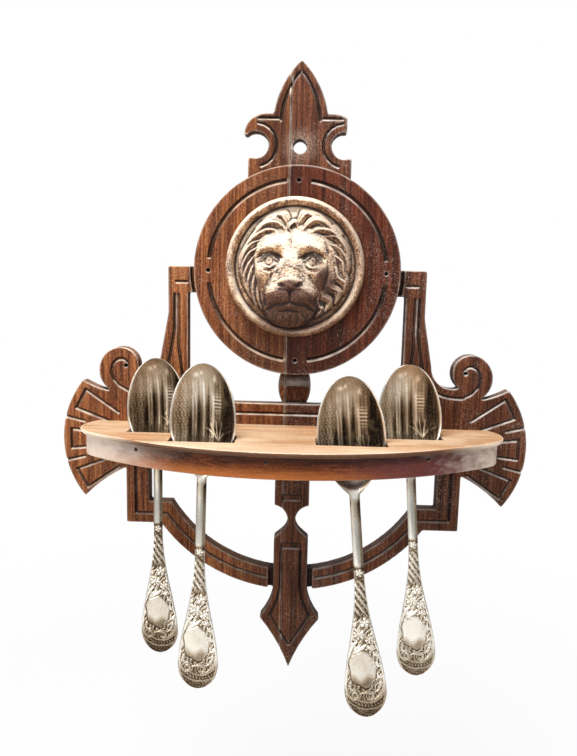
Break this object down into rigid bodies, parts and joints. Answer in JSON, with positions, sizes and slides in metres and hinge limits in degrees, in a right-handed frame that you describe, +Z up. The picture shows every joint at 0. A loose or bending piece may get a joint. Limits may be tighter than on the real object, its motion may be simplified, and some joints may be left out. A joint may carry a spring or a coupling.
{
  "type": "spoon rack",
  "caption": "Fret-cut and chip-carved wooden wall rack with a lion-mask medallion and a bowed slotted shelf that holds silver teaspoons, each free to lift out.",
  "frame": {"origin": "centre of the hanging hole, on the boards' back face", "axes": "+Z up, +X to the right of someone facing the rack, +Y into the wall, so the front faces -Y"},
  "size_m": [0.228, 0.061, 0.2975],
  "materials": {
    "walnut_red": "waxed, worn",
    "walnut_dark": "waxed, worn",
    "walnut_pale": "worn bare",
    "limewood": "dusty, carved",
    "iron": "dull",
    "silver": "tarnished silver plate"
  },
  "bodies": {
    "rack": {"back_board_left": "walnut_red", "back_board_right": "walnut_dark", "roundel_left": "walnut_red", "roundel_right": "walnut_dark", "lion_medallion": "limewood", "shelf_top": "walnut_pale", "shelf_apron": "walnut_pale", "shelf_cleat": "walnut_dark", "glue_blocks": "walnut_dark", "apron_pins": "iron", "cleat_screws": "iron", "roundel_screws": "iron"},
    "outer_left_spoon": {"spoon_outer_left": "silver"},
    "inner_left_spoon": {"spoon_inner_left": "silver"},
    "inner_right_spoon": {"spoon_inner_right": "silver"},
    "outer_right_spoon": {"spoon_outer_right": "silver"}
  },
  "joints": [
    {"name": "lift_outer_left", "type": "slide", "parent": "rack", "child": "outer_left_spoon", "axis": [-0.0122, 0, 0.9999], "range_m": [0, 0.12]},
    {"name": "lift_inner_left", "type": "slide", "parent": "rack", "child": "inner_left_spoon", "axis": [0.0122, 0, 0.9999], "range_m": [0, 0.12]},
    {"name": "lift_inner_right", "type": "slide", "parent": "rack", "child": "inner_right_spoon", "axis": [-0.0871, 0.0262, 0.9959], "range_m": [0, 0.12]},
    {"name": "lift_outer_right", "type": "slide", "parent": "rack", "child": "outer_right_spoon", "axis": [-0.0698, 0, 0.9976], "range_m": [0, 0.12]}
  ]
}
